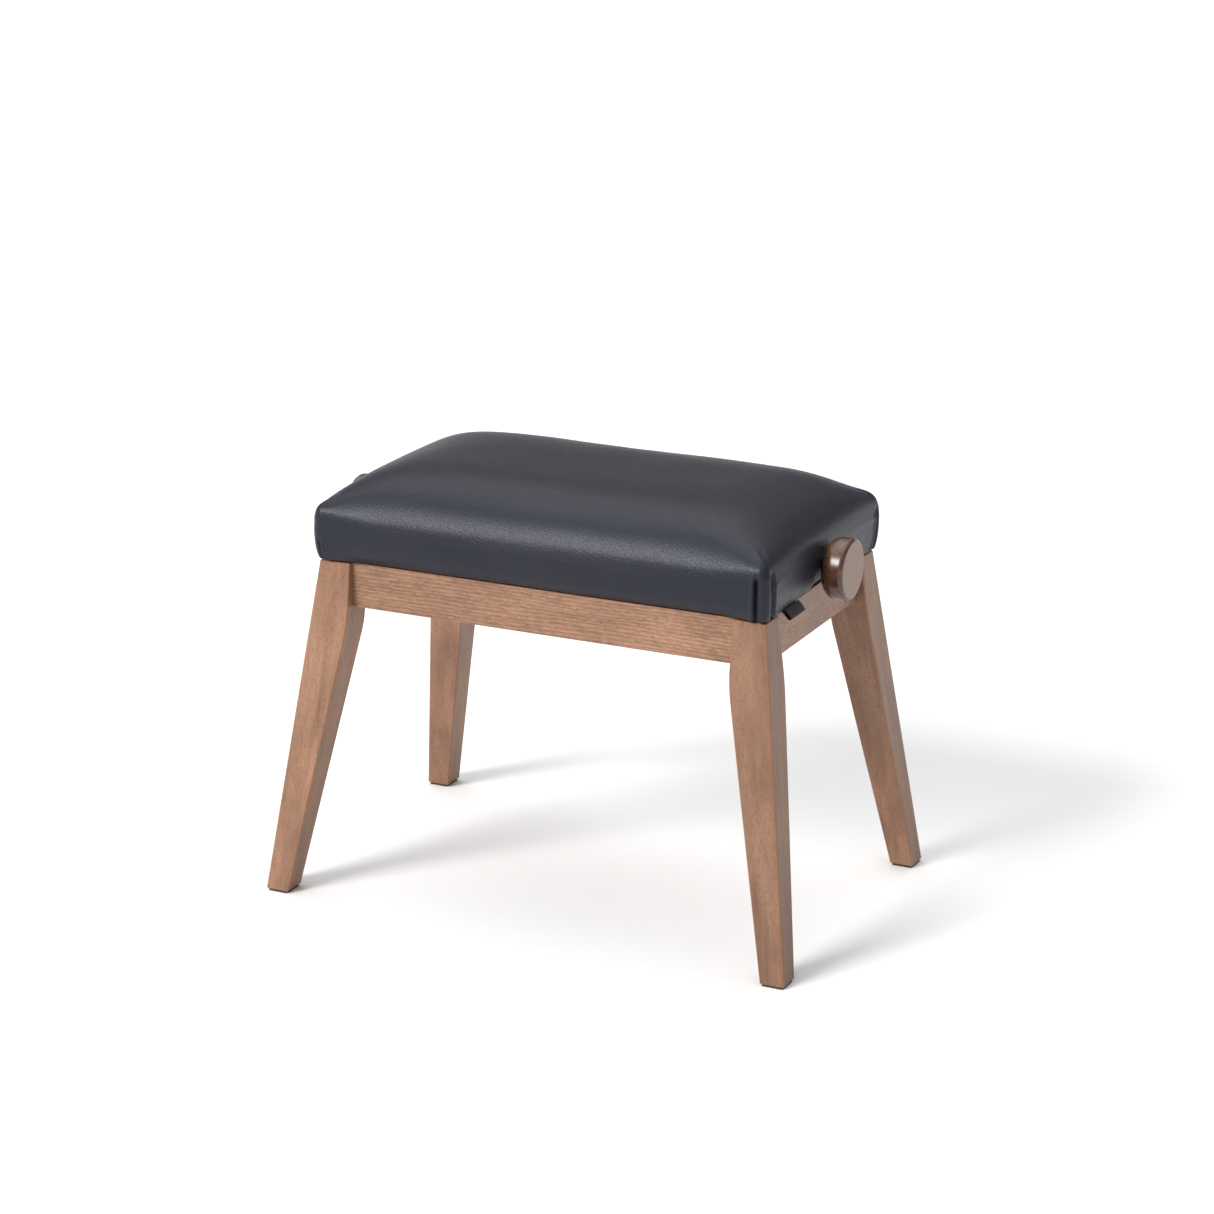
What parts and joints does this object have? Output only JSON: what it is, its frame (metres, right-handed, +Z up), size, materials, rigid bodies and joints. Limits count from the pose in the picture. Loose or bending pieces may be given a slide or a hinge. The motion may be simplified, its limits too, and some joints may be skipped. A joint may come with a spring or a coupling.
{
  "type": "adjustable piano bench",
  "caption": "Height-adjustable piano bench: splayed walnut-stained legs, a padded black leatherette seat, and round end knobs that raise it on a screw-driven scissor lift.",
  "frame": {"origin": "on the floor under the middle of the bench", "axes": "+X along the seat towards the right knob, +Y to the back, +Z up"},
  "size_m": [0.6448, 0.4162, 0.4935],
  "materials": {
    "stained_beech_legs": "satin lacquer over walnut stain, fine beech flecks",
    "stained_beech_aprons": "satin lacquer over walnut stain, wavy lengthwise grain",
    "stained_beech_knobs": "glossy lacquer, turned",
    "plain_beech": "bare sanded beech",
    "plywood": "bare birch plywood",
    "leatherette": "soft matt leatherette with fine pebble grain",
    "foam": "open-cell foam",
    "label_cloth": "woven ribbon",
    "black_steel": "black powder coat",
    "bright_steel": "turned, lightly oiled",
    "zinc_steel": "zinc plated",
    "brass": "turned",
    "slide_nylon": "natural nylon",
    "foot_plastic": "dark plastic glide"
  },
  "bodies": {
    "base": {"apron_dowels": "plain_beech", "apron_front": "stained_beech_aprons", "apron_left": "stained_beech_aprons", "apron_rear": "stained_beech_aprons", "apron_right": "stained_beech_aprons", "corner_block_front_left": "plain_beech", "corner_block_front_right": "plain_beech", "corner_block_rear_left": "plain_beech", "corner_block_rear_right": "plain_beech", "corner_block_screws": "zinc_steel", "foot_pads": "foot_plastic", "leg_front_left": "stained_beech_legs", "leg_front_right": "stained_beech_legs", "leg_rear_left": "stained_beech_legs", "leg_rear_right": "stained_beech_legs", "lower_pivot_clips": "black_steel", "lower_pivot_shaft": "bright_steel", "lower_rail_front": "black_steel", "lower_rail_rear": "black_steel", "lower_rail_screws": "zinc_steel", "lower_ties": "black_steel"},
    "arms_outer": {"arm_outer_front": "black_steel", "arm_outer_rear": "black_steel", "arm_outer_tube": "black_steel", "centre_pins": "bright_steel"},
    "arms_inner": {"arm_inner_front": "black_steel", "arm_inner_rear": "black_steel", "arm_inner_tube": "black_steel"},
    "seat": {"cover_staples": "zinc_steel", "label_tag": "label_cloth", "pivot_spacers": "bright_steel", "rim_front": "plain_beech", "rim_left": "plain_beech", "rim_rear": "plain_beech", "rim_right": "plain_beech", "rim_screws": "zinc_steel", "seat_board": "plywood", "seat_cover": "leatherette", "seat_foam": "foam", "thrust_bar": "bright_steel", "thrust_bar_clips": "black_steel", "upper_rail_front": "black_steel", "upper_rail_rear": "black_steel", "upper_rail_screws": "zinc_steel", "upper_ties": "black_steel"},
    "spindle_set": {"collar_set_screws": "black_steel", "knob_inserts": "brass", "knob_left": "stained_beech_knobs", "knob_right": "stained_beech_knobs", "spindle": "bright_steel", "thrust_collars": "bright_steel"},
    "nut_set": {"nut_bar": "bright_steel", "nut_bar_clips": "black_steel", "upper_slide_block_front": "slide_nylon", "upper_slide_block_rear": "slide_nylon"},
    "slide_set": {"lower_slide_block_front": "slide_nylon", "lower_slide_block_rear": "slide_nylon", "lower_slide_clips": "black_steel", "lower_slide_shaft": "bright_steel"}
  },
  "joints": [
    {"name": "lift", "type": "hinge", "parent": "base", "child": "arms_outer", "pos_m": [-0.17, 0, 0.355], "axis": [0, -1, 0], "range_deg": [0, 17.84]},
    {"name": "scissor_cross", "type": "hinge", "parent": "arms_outer", "child": "arms_inner", "pos_m": [-0.00236, 0, 0.38325], "axis": [0, 1, 0], "range_deg": [0, 35.69]},
    {"name": "seat_level", "type": "hinge", "parent": "arms_inner", "child": "seat", "pos_m": [-0.17, 0, 0.4115], "axis": [0, -1, 0], "range_deg": [0, 17.85]},
    {"name": "knob_turn", "type": "hinge", "parent": "seat", "child": "spindle_set", "pos_m": [0, 0, 0.4115], "axis": [1, 0, 0], "range_deg": [0, 4014.3]},
    {"name": "nut_level", "type": "hinge", "parent": "arms_outer", "child": "nut_set", "pos_m": [0.16527, 0, 0.4115], "axis": [0, 1, 0], "range_deg": [0, 17.85]},
    {"name": "slide_level", "type": "hinge", "parent": "arms_inner", "child": "slide_set", "pos_m": [0.16527, 0, 0.355], "axis": [0, -1, 0], "range_deg": [0, 17.85]}
  ],
  "couplings": [
    {"joint": "scissor_cross", "follows": "lift", "ratio": 2},
    {"joint": "seat_level", "follows": "lift", "ratio": 1},
    {"joint": "knob_turn", "follows": "lift", "ratio": 224.9},
    {"joint": "nut_level", "follows": "lift", "ratio": 1},
    {"joint": "slide_level", "follows": "lift", "ratio": 1}
  ]
}
